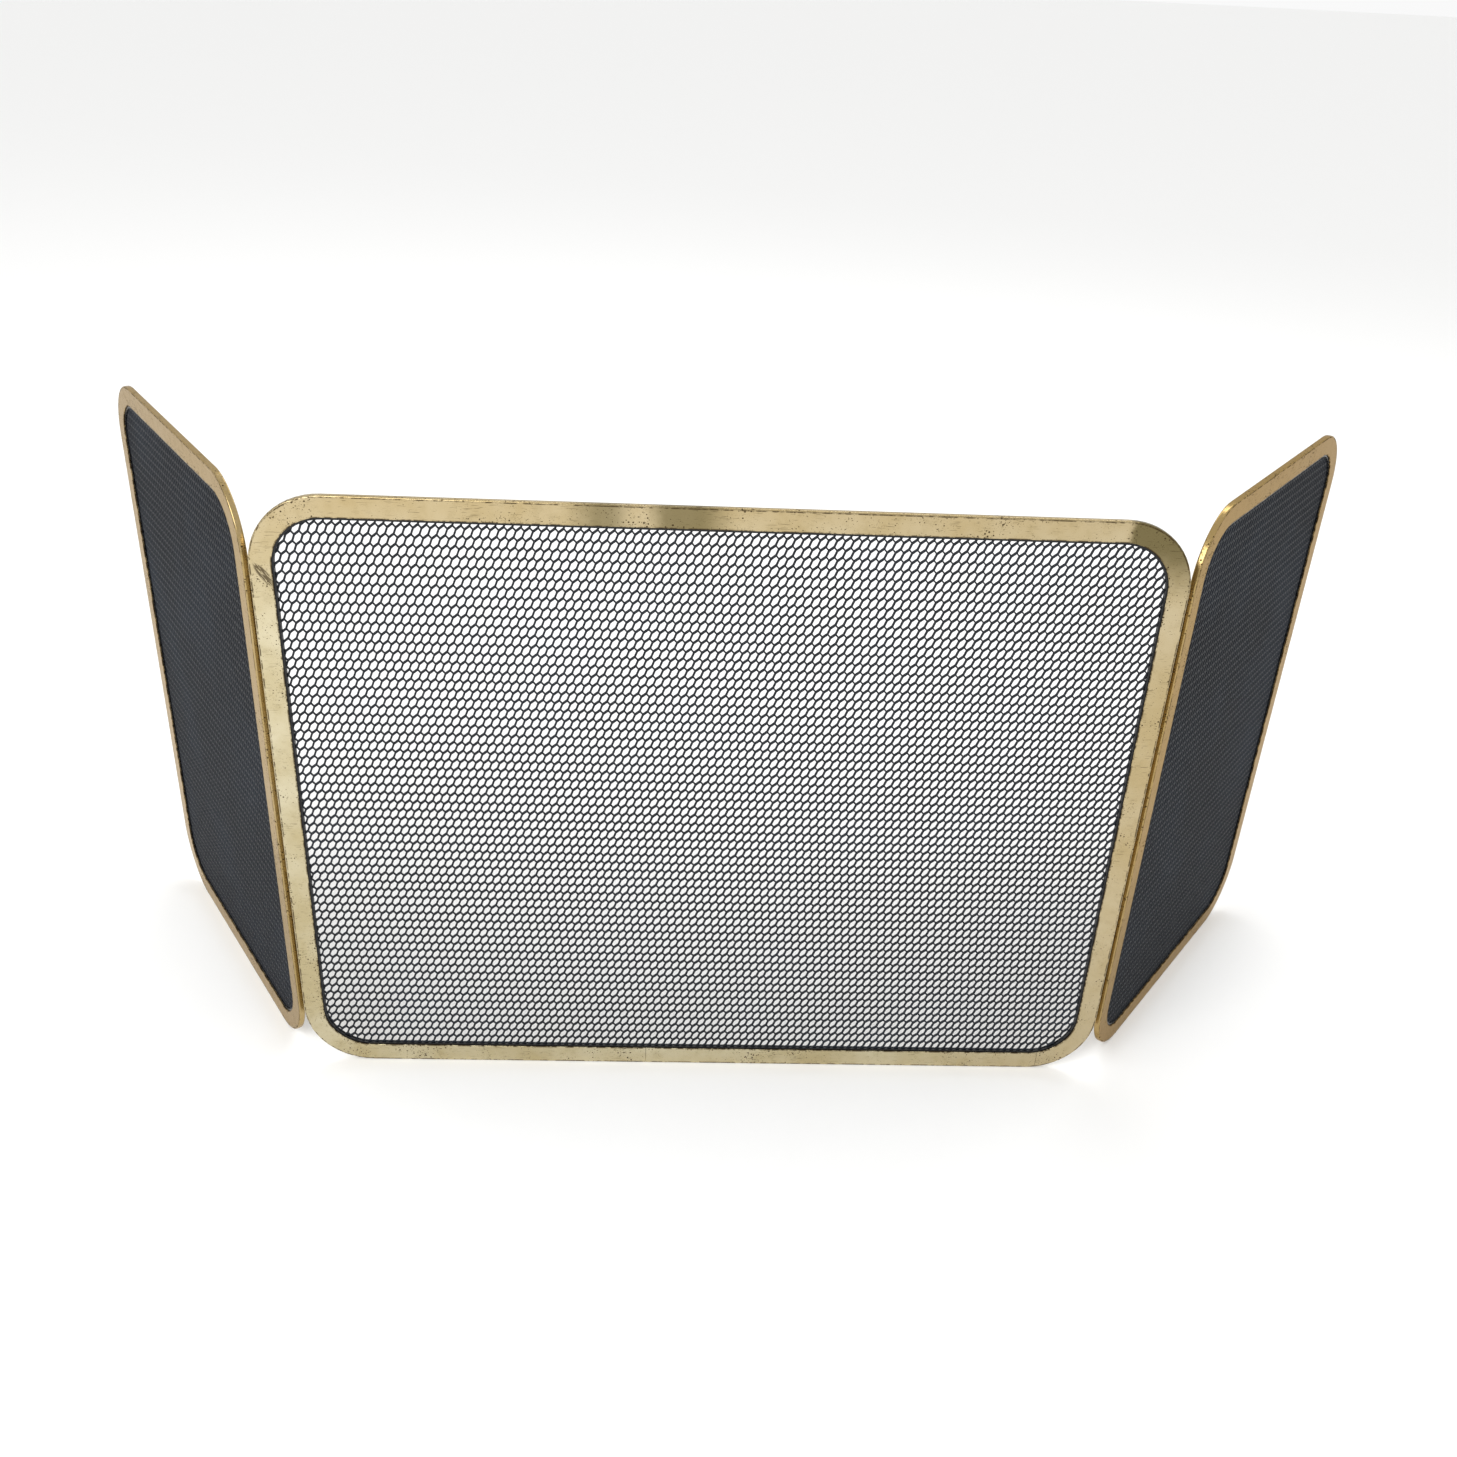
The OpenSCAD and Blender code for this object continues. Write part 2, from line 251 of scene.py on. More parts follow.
def new_material(name, metallic, roughness):
    """An empty material with its main shader, and the object's coordinates in millimetres."""
    material = bpy.data.materials.new(name)
    material.use_nodes = True
    tree = material.node_tree
    tree.nodes.clear()
    shader = add(tree, "BsdfPrincipled", None, {"Metallic": metallic, "Roughness": roughness})
    add(tree, "OutputMaterial", None, {"Surface": shader.outputs["BSDF"]})
    coords = add(tree, "TexCoord", "Object", {})
    spot = add(tree, "VectorMath", "Vector", {0: coords, "Scale": 1 / MM}, operation="SCALE")
    return material, tree, shader, spot


def rgba(colour):
    return (*colour, 1.0)


def panel_place(tree, spot, panel):
    """Millimetres along the panel's own axes, about its middle."""
    back = panel.place().inverted()
    inputs = {"Vector": spot, "Rotation": back.to_euler(), "Location": back.translation / MM}
    return add(tree, "Mapping", "Vector", inputs, vector_type="POINT")


def depth_in_rim(tree, place, panel, corner_radius):
    """How far a point lies inside the panel's rounded outer edge, in millimetres."""
    radius = corner_radius / MM
    inner = (panel.half.x / MM - radius, 0.0, panel.half.z / MM - radius)
    flat = add(tree, "VectorMath", "Vector", {0: place, 1: (1.0, 0.0, 1.0)}, operation="MULTIPLY")
    folded = add(tree, "VectorMath", "Vector", {0: flat}, operation="ABSOLUTE")
    past = add(tree, "VectorMath", "Vector", {0: folded, 1: inner}, operation="SUBTRACT")
    outward = add(tree, "VectorMath", "Vector", {0: past, 1: (0.0, 0.0, 0.0)}, operation="MAXIMUM")
    length = add(tree, "VectorMath", "Value", {0: outward}, operation="LENGTH")
    return add(tree, "Math", "Value", {0: radius, 1: length}, operation="SUBTRACT")


def dark_reflection_mask(tree, place, mottle):
    """Where dark reflections are painted on the brass as olive patches, with slightly uneven edges."""
    split = add(tree, "SeparateXYZ", None, {"Vector": place})
    sway = add(tree, "Math", "Value", {0: mottle, 1: DARK_REFLECTION_SWAY, 2: -DARK_REFLECTION_SWAY / 2},
               operation="MULTIPLY_ADD")
    x, z = (add(tree, "Math", "Value", {0: split.outputs[axis], 1: sway}, operation="ADD")
            for axis in ("X", "Z"))
    mask = 0.0
    for across, upward, strength in CENTRE_DARK_REFLECTIONS:
        patch = strength
        for value, (start, full, hold, end) in ((x, across), (z, upward)):
            rise = add(tree, "MapRange", "Result", {"Value": value, "From Min": start, "From Max": full},
                       interpolation_type="SMOOTHSTEP")
            fall = add(tree, "MapRange", "Result",
                       {"Value": value, "From Min": hold, "From Max": end, "To Min": 1.0, "To Max": 0.0},
                       interpolation_type="SMOOTHSTEP")
            band = add(tree, "Math", "Value", {0: rise, 1: fall}, operation="MULTIPLY")
            patch = add(tree, "Math", "Value", {0: patch, 1: band}, operation="MULTIPLY")
        mask = add(tree, "Math", "Value", {0: mask, 1: patch}, operation="MAXIMUM")
    return mask


def dirt_mask(tree, spot, place, depth, clouds):
    """Where brown dirt sits: in pits and specks, in short slanting scratches, and in broken lines along
    the rim's arris and its inner lip."""
    crowd = add(tree, "TexNoise", "Fac", {"Vector": spot, "Scale": 1 / 25, "Detail": 2.0})
    near_arris = add(tree, "MapRange", "Result",
                     {"Value": depth, "From Min": 0.0, "From Max": 4.0, "To Min": 0.08, "To Max": 0.0})
    near_lip = add(tree, "MapRange", "Result",
                   {"Value": depth, "From Min": RIM_WIDTH - 5.0, "From Max": RIM_WIDTH - 0.5,
                    "To Min": 0.0, "To Max": 0.08})
    crowd = add(tree, "Math", "Value", {0: crowd, 1: near_arris}, operation="ADD")
    crowd = add(tree, "Math", "Value", {0: crowd, 1: near_lip}, operation="ADD")

    # Pits are dots about 1 mm across, one in some of the cells of an even scatter.
    cell = add(tree, "TexVoronoi", "Distance", {"Vector": spot, "Scale": 1 / 3.2, "Randomness": 1.0})
    pit_size = add(tree, "MapRange", "Result",
                   {"Value": crowd, "From Min": 0.46, "From Max": 0.66, "To Min": 0.03, "To Max": 0.24})
    into_pit = add(tree, "Math", "Value", {0: pit_size, 1: cell}, operation="SUBTRACT")
    pits = add(tree, "MapRange", "Result",
               {"Value": into_pit, "From Min": -0.02, "From Max": 0.04, "To Min": 0.0, "To Max": 0.9})

    # Specks are a good deal finer than the pits.
    grain = add(tree, "TexNoise", "Fac", {"Vector": spot, "Scale": 1 / 1.1, "Detail": 3.0})
    speckled = add(tree, "Math", "Value", {0: crowd, 1: 0.35, 2: grain}, operation="MULTIPLY_ADD")
    specks = add(tree, "MapRange", "Result",
                 {"Value": speckled, "From Min": 0.84, "From Max": 0.89, "To Min": 0.0, "To Max": 0.8})

    slant = add(tree, "Mapping", "Vector",
                {"Vector": place, "Rotation": (0.0, SCRATCH_SLANT, 0.0),
                 "Scale": (1 / 9, 1 / 9, 1 / 0.6)})
    stroke = add(tree, "TexNoise", "Fac", {"Vector": slant, "Scale": 1.0, "Detail": 1.0})
    scratch = add(tree, "MapRange", "Result",
                  {"Value": stroke, "From Min": 0.67, "From Max": 0.71, "To Min": 0.0, "To Max": 0.5})
    worn = add(tree, "MapRange", "Result", {"Value": clouds, "From Min": 0.42, "From Max": 0.56})
    scratches = add(tree, "Math", "Value", {0: scratch, 1: worn}, operation="MULTIPLY")

    arris = add(tree, "MapRange", "Result", {"Value": depth, "From Min": 0.5, "From Max": 0.9})
    arris_end = add(tree, "MapRange", "Result", {"Value": depth, "From Min": 1.8, "From Max": 1.3})
    arris = add(tree, "Math", "Value", {0: arris, 1: arris_end}, operation="MULTIPLY")
    lip = add(tree, "MapRange", "Result",
              {"Value": depth, "From Min": RIM_WIDTH - 1.2, "From Max": RIM_WIDTH - 0.4})
    lines = add(tree, "Math", "Value", {0: arris, 1: lip}, operation="ADD")
    gaps = add(tree, "TexNoise", "Fac",
               {"Vector": spot, "Scale": 1 / 6, "Detail": 4.0, "Roughness": 0.7})
    broken = add(tree, "MapRange", "Result",
                 {"Value": gaps, "From Min": 0.42, "From Max": 0.54, "To Min": 0.0, "To Max": 0.9})
    edges = add(tree, "Math", "Value", {0: lines, 1: broken}, operation="MULTIPLY")

    dirt = add(tree, "Math", "Value", {0: pits, 1: specks}, operation="MAXIMUM")
    dirt = add(tree, "Math", "Value", {0: dirt, 1: scratches}, operation="MAXIMUM")
    return add(tree, "Math", "Value", {0: dirt, 1: edges}, operation="MAXIMUM")


def scuff_mask(tree, place):
    """A slanting scuff high on the left stile, where a fire iron has rubbed: a sheaf of fine scratches."""
    half_wide, half_long = SCUFF_HALF
    away = add(tree, "VectorMath", "Vector", {0: place, 1: SCUFF_MIDDLE}, operation="SUBTRACT")
    along = add(tree, "Mapping", "Vector",
                {"Vector": away, "Rotation": (0.0, SCUFF_SLANT, 0.0), "Scale": (1.0, 0.0, 1.0)})
    oval = add(tree, "VectorMath", "Vector", {0: along, 1: (1 / half_wide, 0.0, 1 / half_long)},
               operation="MULTIPLY")
    reach = add(tree, "VectorMath", "Value", {0: oval}, operation="LENGTH")
    inside = add(tree, "MapRange", "Result", {"Value": reach, "From Min": 1.05, "From Max": 0.75})
    fine = add(tree, "VectorMath", "Vector", {0: along, 1: (1 / 0.8, 0.0, 1 / 7)}, operation="MULTIPLY")
    hatch = add(tree, "TexNoise", "Fac", {"Vector": fine, "Scale": 1.0, "Detail": 2.0})
    lines = add(tree, "MapRange", "Result",
                {"Value": hatch, "From Min": 0.40, "From Max": 0.50, "To Min": 0.0, "To Max": 0.8})
    return add(tree, "Math", "Value", {0: inside, 1: lines}, operation="MULTIPLY")


def aged_brass(name, panel, brass, corner_radius, dark_reflections_and_scuff, brownness):
    """Thin rolled brass, polished long ago: a pale muted mirror softened by mottling, with brown pits,
    specks and scratches, dirt along both edges of the rim, and golden streaks on its outer wall. It also
    has painted darker reflection as browner brass towards the top right and, on the centre rim, painted
    dark reflections as olive patches."""
    material, tree, shader, spot = new_material(name, 1.0, 0.25)
    edge_on = Vector((1.0, 1.0, 1.0)).lerp(Vector(brass.wing), GLOSS_TINT * brownness)
    shader.inputs["Specular Tint"].default_value = rgba(edge_on)
    place = panel_place(tree, spot, panel)
    depth = depth_in_rim(tree, place, panel, corner_radius)
    clouds = add(tree, "TexNoise", "Fac", {"Vector": spot, "Scale": 1 / 60, "Detail": 3.0})
    mottle = add(tree, "TexNoise", "Fac", {"Vector": spot, "Scale": 1 / 7, "Detail": 4.0})

    # Polished to mellow in soft clouds
    both = add(tree, "Math", "Value", {0: mottle, 1: 0.2, 2: clouds}, operation="MULTIPLY_ADD")
    mellow = add(tree, "MapRange", "Result", {"Value": both, "From Min": 0.45, "From Max": 0.75})
    colour = add(tree, "Mix", 2, {"Factor": mellow, 6: rgba(brass.polished), 7: rgba(brass.mellow)},
                 data_type="RGBA")

    # Painted darker reflection: the brass turns browner high up and towards the right. Each panel's own
    # brownness is the least it gets, which makes the wings browner all over.
    split = add(tree, "SeparateXYZ", None, {"Vector": place})
    high = add(tree, "MapRange", "Result",
               {"Value": split.outputs["Z"], "From Min": 150.0, "From Max": 245.0,
                "To Min": 0.0, "To Max": 0.45})
    right = add(tree, "MapRange", "Result",
                {"Value": split.outputs["X"], "From Min": 180.0, "From Max": 325.0,
                 "To Min": 0.0, "To Max": 0.4})
    browned = add(tree, "Math", "Value", {0: high, 1: right}, operation="MAXIMUM")
    browned = add(tree, "Math", "Value", {0: browned, 1: brownness}, operation="MAXIMUM")
    colour = add(tree, "Mix", 2, {"Factor": browned, 6: colour, 7: rgba(brass.wing)}, data_type="RGBA")

    # Golden streaks run up the outer wall.
    upright = add(tree, "Mapping", "Vector", {"Vector": spot, "Scale": (1 / 1.5, 1 / 1.5, 1 / 40)})
    streak = add(tree, "TexNoise", "Fac", {"Vector": upright, "Scale": 1.0, "Detail": 3.0})
    streaky = add(tree, "MapRange", "Result",
                  {"Value": streak, "From Min": 0.35, "From Max": 0.65, "To Min": 0.1, "To Max": 0.6})
    wall = add(tree, "MapRange", "Result", {"Value": depth, "From Min": 0.9, "From Max": 0.2})
    golden = add(tree, "Math", "Value", {0: streaky, 1: wall}, operation="MULTIPLY")
    colour = add(tree, "Mix", 2, {"Factor": golden, 6: colour, 7: rgba(brass.hinge)}, data_type="RGBA")

    # Olive tarnish in small random patches, joined on the centre rim by the painted dark reflections in
    # the same colour
    olive = add(tree, "MapRange", "Result",
                {"Value": mottle, "From Min": 0.55, "From Max": 0.78, "To Min": 0.0, "To Max": 0.12})
    if dark_reflections_and_scuff:
        dark_reflection = dark_reflection_mask(tree, place, mottle)
        olive = add(tree, "Math", "Value", {0: olive, 1: dark_reflection}, operation="MAXIMUM")
    colour = add(tree, "Mix", 2, {"Factor": olive, 6: colour, 7: rgba(brass.tarnish)}, data_type="RGBA")

    dirt = dirt_mask(tree, spot, place, depth, clouds)
    if dark_reflections_and_scuff:
        scuff = scuff_mask(tree, place)
        dirt = add(tree, "Math", "Value", {0: dirt, 1: scuff}, operation="MAXIMUM")
    colour = add(tree, "Mix", 2, {"Factor": dirt, 6: colour, 7: rgba(brass.dirt)}, data_type="RGBA")
    tree.links.new(colour, shader.inputs["Base Color"])

    rough = add(tree, "MapRange", "Result",
                {"Value": mottle, "From Min": 0.3, "From Max": 0.75, "To Min": 0.16, "To Max": 0.28})
    rough = add(tree, "Math", "Value", {0: dirt, 1: 0.35, 2: rough}, operation="MULTIPLY_ADD")
    tree.links.new(rough, shader.inputs["Roughness"])

    height = add(tree, "Math", "Value", {0: dirt, 1: -0.9, 2: mottle}, operation="MULTIPLY_ADD")
    bump = add(tree, "Bump", "Normal", {"Strength": 0.2, "Distance": 0.05 * MM, "Height": height})
    tree.links.new(bump, shader.inputs["Normal"])
    return material


def hinge_brass(brass):
    """Drawn brass left as it came from the press: brown-yellow and dull, darker in random patches."""
    material, tree, shader, spot = new_material("Hinge Brass", 1.0, 0.4)
    mottle = add(tree, "TexNoise", "Fac", {"Vector": spot, "Scale": 1 / 3, "Detail": 4.0})
    dull = add(tree, "MapRange", "Result", {"Value": mottle, "From Min": 0.4, "From Max": 0.7})
    colour = add(tree, "Mix", 2, {"Factor": dull, 6: rgba(brass.hinge), 7: rgba(brass.tarnish)},
                 data_type="RGBA")
    tree.links.new(colour, shader.inputs["Base Color"])
    rough = add(tree, "MapRange", "Result",
                {"Value": mottle, "From Min": 0.3, "From Max": 0.75, "To Min": 0.3, "To Max": 0.55})
    tree.links.new(rough, shader.inputs["Roughness"])
    bump = add(tree, "Bump", "Normal", {"Strength": 0.3, "Distance": 0.1 * MM, "Height": mottle})
    tree.links.new(bump, shader.inputs["Normal"])
    return material


def aged_steel():
    """Bright steel gone grey, with brown freckles of rust: pins and screws."""
    material, tree, shader, spot = new_material("Aged Steel", 1.0, 0.35)
    spots = add(tree, "TexNoise", "Fac", {"Vector": spot, "Scale": 1 / 0.8, "Detail": 4.0})
    freckles = add(tree, "MapRange", "Result",
                   {"Value": spots, "From Min": 0.55, "From Max": 0.68, "To Min": 0.0, "To Max": 0.7})
    colour = add(tree, "Mix", 2,
                 {"Factor": freckles, 6: rgba(linear(STEEL)), 7: rgba(linear(RUST))},
                 data_type="RGBA")
    tree.links.new(colour, shader.inputs["Base Color"])
    rough = add(tree, "Math", "Value", {0: freckles, 1: 0.4, 2: 0.28}, operation="MULTIPLY_ADD")
    tree.links.new(rough, shader.inputs["Roughness"])
    return material


def black_edging():
    """Steel strip under glossy black enamel: near black, with soft bright lines where it turns."""
    material, tree, shader, spot = new_material("Black Enamel", 0.0, 0.25)
    shader.inputs["Specular IOR Level"].default_value = 0.35
    specks = add(tree, "TexNoise", "Fac", {"Vector": spot, "Scale": 1 / 2.5, "Detail": 4.0})
    dusty = add(tree, "MapRange", "Result",
                {"Value": specks, "From Min": 0.5, "From Max": 0.75, "To Min": 0.0, "To Max": 0.5})
    colour = add(tree, "Mix", 2,
                 {"Factor": dusty, 6: rgba(linear(ENAMEL)), 7: rgba(linear(DUSTY_ENAMEL))},
                 data_type="RGBA")
    tree.links.new(colour, shader.inputs["Base Color"])
    rough = add(tree, "MapRange", "Result",
                {"Value": specks, "From Min": 0.35, "From Max": 0.7, "To Min": 0.2, "To Max": 0.4})
    tree.links.new(rough, shader.inputs["Roughness"])
    return material


def net_paint(net):
    """Sprayed black stove paint on wire: almost matt, so it stays dark edge-on, with a bloom of dust. Its
    black carries a painted blue tint that stands in for the sky's reflection.
    """
    material, tree, shader, spot = new_material("Black Stove Paint", 0.0, 0.6)
    shader.inputs["Specular IOR Level"].default_value = 0.3
    clouds = add(tree, "TexNoise", "Fac", {"Vector": spot, "Scale": 1 / 90, "Detail": 3.0})
    dusty = add(tree, "MapRange", "Result",
                {"Value": clouds, "From Min": 0.45, "From Max": 0.75, "To Min": 0.0, "To Max": 0.7})
    colour = add(tree, "Mix", 2, {"Factor": dusty, 6: rgba(net.paint), 7: rgba(net.dusty_sky_tinted_paint)},
                 data_type="RGBA")
    tree.links.new(colour, shader.inputs["Base Color"])
    grit = add(tree, "TexNoise", "Fac", {"Vector": spot, "Scale": 1 / 0.6, "Detail": 2.0})
    bump = add(tree, "Bump", "Normal", {"Strength": 0.2, "Distance": 0.1 * MM, "Height": grit})
    tree.links.new(bump, shader.inputs["Normal"])
    return material


def dress(node, material):
    """Gives a node of the frame its finish."""
    slots = frame["nodes"][node].data.materials
    if len(slots) == 0:
        slots.append(material)
    for index in range(len(slots)):
        slots[index] = material


# ---------------------------------------------------------------- making the nets


def deselect_all():
    bpy.ops.object.select_all(action="DESELECT")


def pick_points(mesh_object, corners):
    """Selects, in edit mode, the points that stand at the given corners."""
    bpy.ops.mesh.select_all(action="DESELECT")
    bpy.ops.object.mode_set(mode="OBJECT")
    for vertex in mesh_object.data.vertices:
        vertex.select = any((vertex.co - corner).length < MERGE for corner in corners)
    bpy.ops.object.mode_set(mode="EDIT")


def pick_faces(mesh_object, wanted):
    """Goes to edit mode and selects the faces that are wanted."""
    bpy.ops.object.mode_set(mode="EDIT")
    bpy.ops.mesh.select_mode(type="FACE")
    bpy.ops.mesh.select_all(action="DESELECT")
    bpy.ops.object.mode_set(mode="OBJECT")
    for face in mesh_object.data.polygons:
        face.select = wanted(face)
    bpy.ops.object.mode_set(mode="EDIT")


def web_round_opening(net):
    """The part of the net that repeats: three strands round an opening and the two knots between."""
    half_long, half_wide = net.opening_length / 2, net.opening_width / 2
    along = Vector((net.pitch, 0, 0))
    up_right = Vector((net.pitch / 2, net.column, 0))
    up_left = Vector((-net.pitch / 2, net.column, 0))
    deselect_all()
    bpy.ops.mesh.primitive_circle_add(vertices=6, radius=1, fill_type="NOTHING")
    web = bpy.context.object
    bpy.ops.object.mode_set(mode="EDIT")
    bpy.ops.transform.resize(value=(half_long / math.cos(math.radians(30)), half_wide, 1))
    moved = Vector((0, 0, 0))
    for step in (along, up_right, up_left):
        bpy.ops.mesh.duplicate()
        bpy.ops.transform.translate(value=step - moved)
        moved = step
    top, bottom = Vector((0, half_wide, 0)), Vector((0, -half_wide, 0))
    right_top, right_bottom = (Vector((half_long, side * half_wide / 2, 0)) for side in (1, -1))
    left_top, left_bottom = (Vector((-half_long, side * half_wide / 2, 0)) for side in (1, -1))
    faces = (
        (right_top, right_bottom, left_bottom + along, left_top + along),
        (top, right_top, bottom + up_right, left_bottom + up_right),
        (left_top, top, right_bottom + up_left, bottom + up_left),
        (right_top, left_top + along, bottom + up_right),
        (top, left_bottom + up_right, right_bottom + up_left),
    )
    for corners in faces:
        pick_points(web, corners)
        bpy.ops.mesh.edge_face_add()
    bpy.ops.mesh.select_all(action="SELECT")
    bpy.ops.mesh.delete_loose()
    bpy.ops.object.mode_set(mode="OBJECT")
    return web


def repeat(web, step, count):
    """Lays copies in a row, each joined to the last."""
    row = web.modifiers.new("Row", "ARRAY")
    row.use_relative_offset = False
    row.use_constant_offset = True
    row.constant_offset_displace = step
    row.count = count
    row.use_merge_vertices = True
    row.merge_threshold = MERGE
    bpy.ops.object.modifier_apply(modifier=row.name)


def make_net(name, body, node, lean, paint):
    """A net of long six-sided openings in level rows, which lean to the right or, where lean is -1, to
    the left. It is cut off inside the rim, where the edging holds it."""
    net = bpy.context.scene.fire_screen_net
    panel = Panel(body)
    web = web_round_opening(net)
    angle = math.atan2(net.column, net.pitch / 2)
    web.rotation_euler.z = angle
    bpy.ops.object.transform_apply(location=True, rotation=True, scale=True)
    web.scale.x = lean * net.squeeze
    bpy.ops.object.transform_apply(location=True, rotation=True, scale=True)
    next_across = Vector((net.squeeze * math.hypot(net.column, net.pitch / 2), 0, 0))
    next_up = Vector((lean * net.squeeze * net.pitch * math.cos(angle), net.pitch * math.sin(angle), 0))
    two_up = 2 * next_up - lean * next_across
    pairs = math.ceil(panel.half.z / next_up.y) + 1
    drift = abs(pairs * two_up.x)
    columns = math.ceil((2 * panel.half.x + drift) / next_across.x) + 2
    repeat(web, next_up, 2)
    repeat(web, two_up, pairs)
    repeat(web, next_across, columns)
    web.location = -sum((Vector(corner) for corner in web.bound_box), Vector()) / 8
    bpy.ops.object.transform_apply(location=True, rotation=True, scale=True)

    corner = Vector((panel.half.x - net.corner_radius, panel.half.z - net.corner_radius))

    def cut_off(face):
        """Strands end at the cut. A knot beyond it stays for now, in case it still holds a strand."""
        past = [max(abs(face.center[i]) - corner[i], 0) for i in range(2)]
        spare = net.pitch / 2 if len(face.vertices) == 3 else 0
        return net.corner_radius - math.hypot(*past) < net.cut_depth - spare

    pick_faces(web, cut_off)
    bpy.ops.mesh.delete(type="FACE")
    bpy.ops.object.mode_set(mode="OBJECT")
    strands = [face for face in web.data.polygons if len(face.vertices) == 4]
    held = {index for strand in strands for index in strand.vertices}
    pick_faces(web, lambda face: not held.intersection(face.vertices))
    bpy.ops.mesh.delete(type="FACE")
    bpy.ops.mesh.select_mode(type="VERT")
    bpy.ops.mesh.select_all(action="SELECT")
    bpy.ops.mesh.remove_doubles(threshold=MERGE)
    bpy.ops.mesh.normals_make_consistent(inside=False)
    bpy.ops.object.mode_set(mode="OBJECT")

    wall = web.modifiers.new("Wall", "SOLIDIFY")
    wall.thickness = net.thickness
    wall.offset = 0
    bpy.ops.object.modifier_apply(modifier=wall.name)
    bpy.ops.object.shade_smooth()
    web.matrix_world = panel.place() @ Matrix.Rotation(math.radians(90), 4, "X")
    bpy.ops.object.transform_apply(location=True, rotation=True, scale=True)
    web.name = name
    web.data.name = name
    web.data.materials.append(paint)
    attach(web, body)
    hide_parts(node)


# ---------------------------------------------------------------- operators


def nodes_ending(*endings):
    """The frame's nodes whose names end in any of these."""
    return [name for name in sorted(frame["nodes"]) if name.endswith(endings)]


class FIRESCREEN_OT_finish_rims(bpy.types.Operator):
    """Give the three rims and the closing piece their aged brass"""

    bl_idname = "fire_screen.finish_rims"
    bl_label = "Finish Rims"

    def execute(self, context):
        brass = context.scene.fire_screen_brass
        radius = context.scene.fire_screen_net.corner_radius
        for body, start in PANELS.items():
            title = start.replace("_", " ").title()
            # Only the centre rim gets the painted dark reflections and the scuff
            dark_reflections_and_scuff = body == "centre_panel"
            metal = aged_brass(f"Aged Brass {title}", Panel(body), brass, radius, dark_reflections_and_scuff,
                               BROWNNESS[body])
            for node in nodes_ending("_rim", "_closing_piece"):
                if node.startswith(start):
                    dress(node, metal)
        return {"FINISHED"}


class FIRESCREEN_OT_finish_hinges(bpy.types.Operator):
    """Give the hinge leaves and the splices in the rims their dull brass"""

    bl_idname = "fire_screen.finish_hinges"
    bl_label = "Finish Hinges"

    def execute(self, context):
        metal = hinge_brass(context.scene.fire_screen_brass)
        for node in nodes_ending("_leaf", "_splice", "_splices"):
            dress(node, metal)
        return {"FINISHED"}


class FIRESCREEN_OT_finish_fixings(bpy.types.Operator):
    """Give the hinge pins and all the screws their grey steel"""

    bl_idname = "fire_screen.finish_fixings"
    bl_label = "Finish Pins and Screws"

    def execute(self, context):
        metal = aged_steel()
        for node in nodes_ending("_pin", "_screws"):
            dress(node, metal)
        return {"FINISHED"}


class FIRESCREEN_OT_finish_edgings(bpy.types.Operator):
    """Give the strips that hold the nets their black enamel"""

    bl_idname = "fire_screen.finish_edgings"
    bl_label = "Finish Edgings"

    def execute(self, context):
        enamel = black_edging()
        for node in nodes_ending("_edging"):
            dress(node, enamel)
        return {"FINISHED"}


class FIRESCREEN_OT_make_nets(bpy.types.Operator):
    """Make the wire nets of the centre panel and the two wings"""

    bl_idname = "fire_screen.make_nets"
    bl_label = "Make Nets"

    def execute(self, context):
        paint = net_paint(context.scene.fire_screen_net)
        make_net("centre_net", "centre_panel", "centre_mesh", 1, paint)
        make_net("left_wing_net", "left_wing", "left_wing_mesh", -1, paint)
        make_net("right_wing_net", "right_wing", "right_wing_mesh", 1, paint)
        return {"FINISHED"}


def add_light(name, power, sides, place, aim):
    """A rectangular soft light that looks at a point."""
    deselect_all()
    turn = (Vector(aim) - Vector(place)).to_track_quat("-Z", "Y").to_euler()
    bpy.ops.object.light_add(type="AREA", location=place, rotation=turn)
    lamp = bpy.context.object
    lamp.name = name
    lamp.data.energy = power
    lamp.data.shape = "RECTANGLE"
    lamp.data.size, lamp.data.size_y = sides


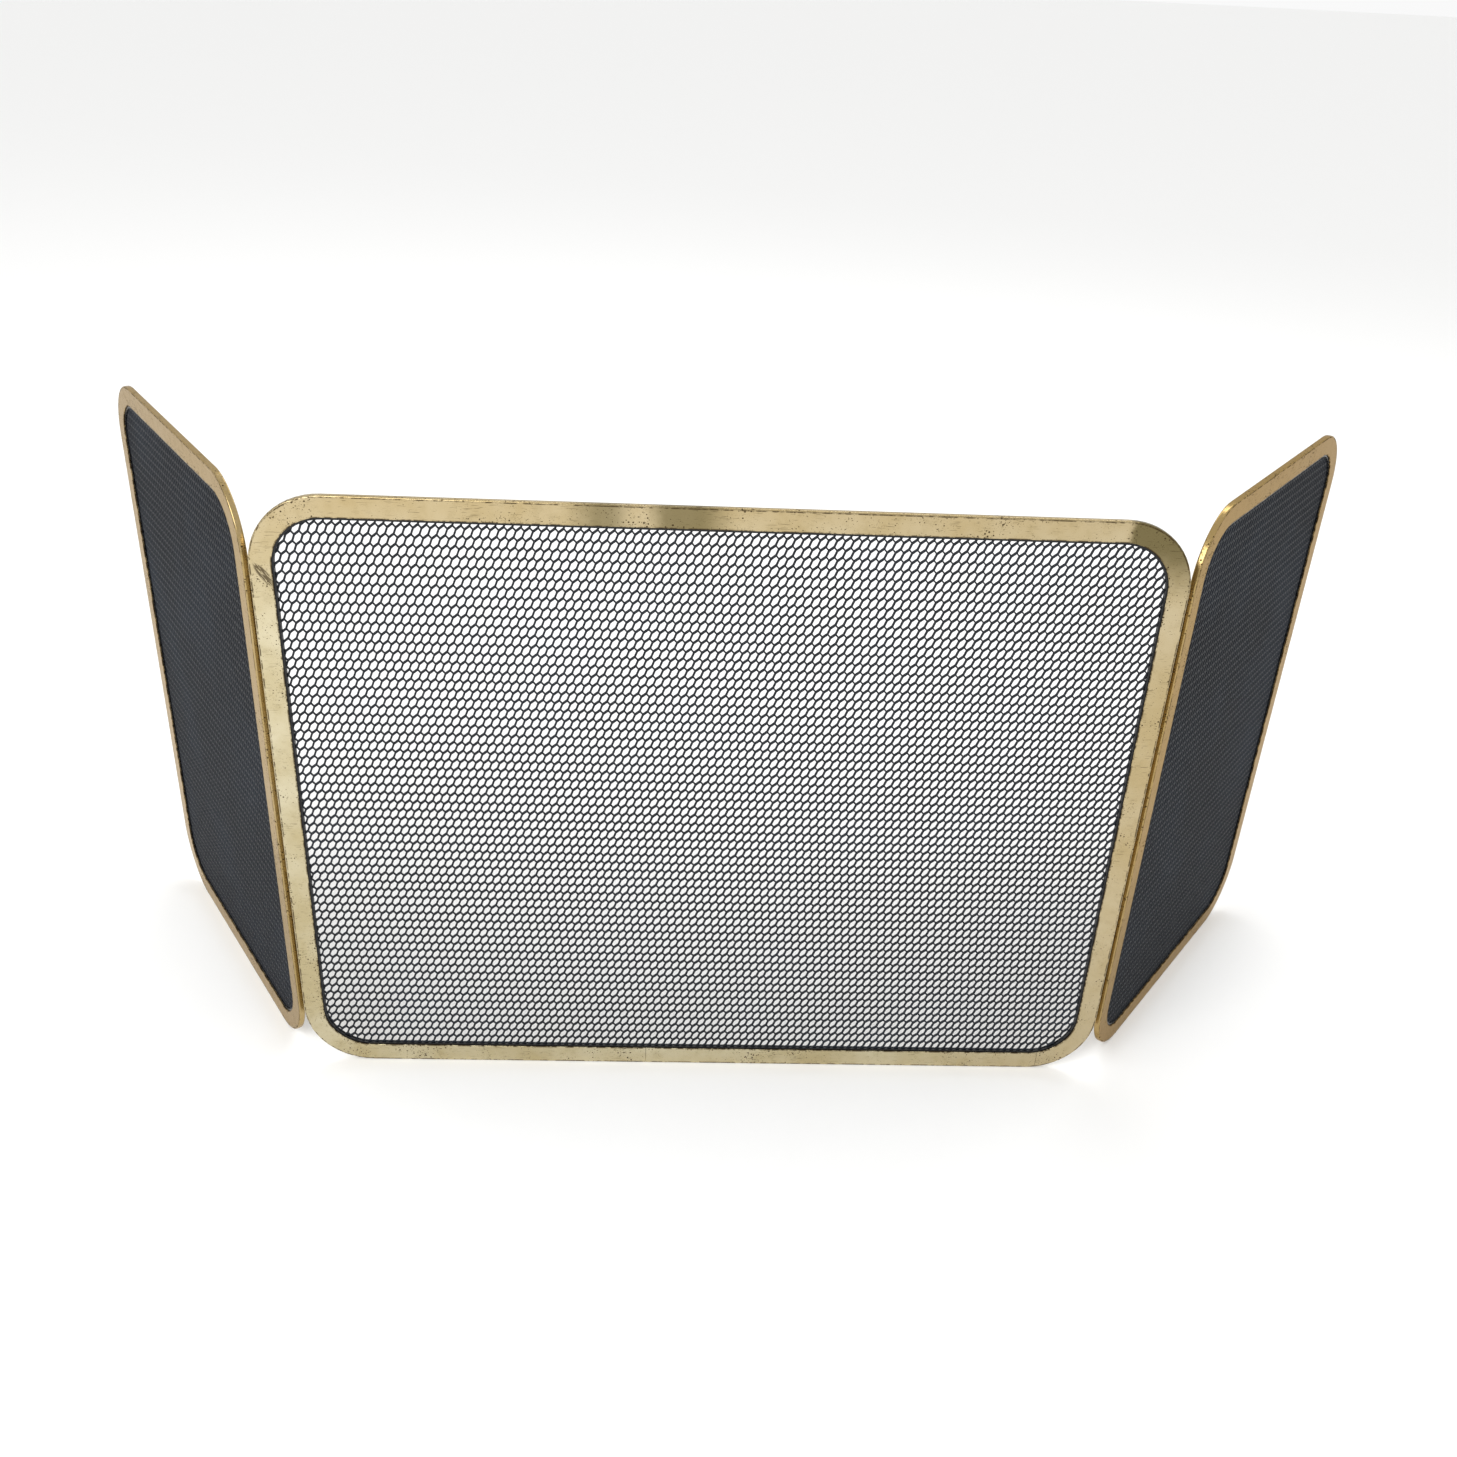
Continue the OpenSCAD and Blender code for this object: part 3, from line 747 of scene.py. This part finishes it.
class FIRESCREEN_OT_set_stage(bpy.types.Operator):
    """Lay the pale floor, and set the soft lights and the camera"""

    bl_idname = "fire_screen.set_stage"
    bl_label = "Set Stage"

    def execute(self, context):
        scene = context.scene
        stage = scene.fire_screen_stage
        deselect_all()
        bpy.ops.mesh.primitive_plane_add(size=stage.floor_side, location=(0, 0, -FLOOR_DROP))
        floor = context.object
        floor.name = "floor"
        bpy.ops.object.transform_apply(location=True, rotation=True, scale=True)
        paper, _, shader, _ = new_material("Pale Paper", 0.0, 0.9)
        shader.inputs["Base Color"].default_value = rgba(stage.floor_colour)
        floor.data.materials.append(paper)

        world = bpy.data.worlds.new("Studio")
        world.use_nodes = True
        surround = world.node_tree.nodes["Background"]
        surround.inputs["Color"].default_value = (1, 1, 1, 1)
        surround.inputs["Strength"].default_value = stage.sky
        scene.world = world
        scene.view_settings.view_transform = "Standard"
        middle = (0, 0, CAD_BOX[1].z / 2)
        add_light("key_light", stage.key, KEY_SIDES, KEY_PLACE, middle)
        add_light("rim_light", stage.rim_light, RIM_LIGHT_SIDES, RIM_LIGHT_PLACE, middle)

        bpy.ops.object.camera_add(location=stage.eye, rotation=stage.aim)
        camera = context.object
        camera.name = "camera"
        camera.data.sensor_width = SENSOR_WIDTH
        camera.data.lens = stage.lens
        camera.data.clip_start = NEAREST_SEEN
        camera.data.clip_end = 2 * stage.floor_side
        scene.camera = camera
        return {"FINISHED"}


class FIRESCREEN_PT_tools(bpy.types.Panel):
    """The screen's pieces, with their sizes and colours"""

    bl_idname = "FIRESCREEN_PT_tools"
    bl_label = "Fire Screen"
    bl_space_type = "VIEW_3D"
    bl_region_type = "UI"
    bl_category = "Fire Screen"

    def draw(self, context):
        scene = context.scene
        for settings, operators in (
            (scene.fire_screen_net, ("make_nets", "finish_edgings")),
            (scene.fire_screen_brass, ("finish_rims", "finish_hinges", "finish_fixings")),
            (scene.fire_screen_stage, ("set_stage",)),
        ):
            box = self.layout.box()
            for name in settings.__annotations__:
                box.prop(settings, name)
            for operator in operators:
                box.operator("fire_screen." + operator)


CLASSES = (
    NetSettings,
    BrassSettings,
    StageSettings,
    FIRESCREEN_OT_finish_rims,
    FIRESCREEN_OT_finish_hinges,
    FIRESCREEN_OT_finish_fixings,
    FIRESCREEN_OT_finish_edgings,
    FIRESCREEN_OT_make_nets,
    FIRESCREEN_OT_set_stage,
    FIRESCREEN_PT_tools,
)


def register():
    for cls in CLASSES:
        bpy.utils.register_class(cls)
    bpy.types.Scene.fire_screen_net = PointerProperty(type=NetSettings)
    bpy.types.Scene.fire_screen_brass = PointerProperty(type=BrassSettings)
    bpy.types.Scene.fire_screen_stage = PointerProperty(type=StageSettings)


def unregister():
    del bpy.types.Scene.fire_screen_stage
    del bpy.types.Scene.fire_screen_brass
    del bpy.types.Scene.fire_screen_net
    for cls in reversed(CLASSES):
        bpy.utils.unregister_class(cls)


def main():
    """Makes the whole screen."""
    register()
    bpy.ops.fire_screen.set_stage()
    bpy.ops.fire_screen.finish_rims()
    bpy.ops.fire_screen.finish_hinges()
    bpy.ops.fire_screen.finish_fixings()
    bpy.ops.fire_screen.finish_edgings()
    bpy.ops.fire_screen.make_nets()


if __name__ == "__main__":
    main()
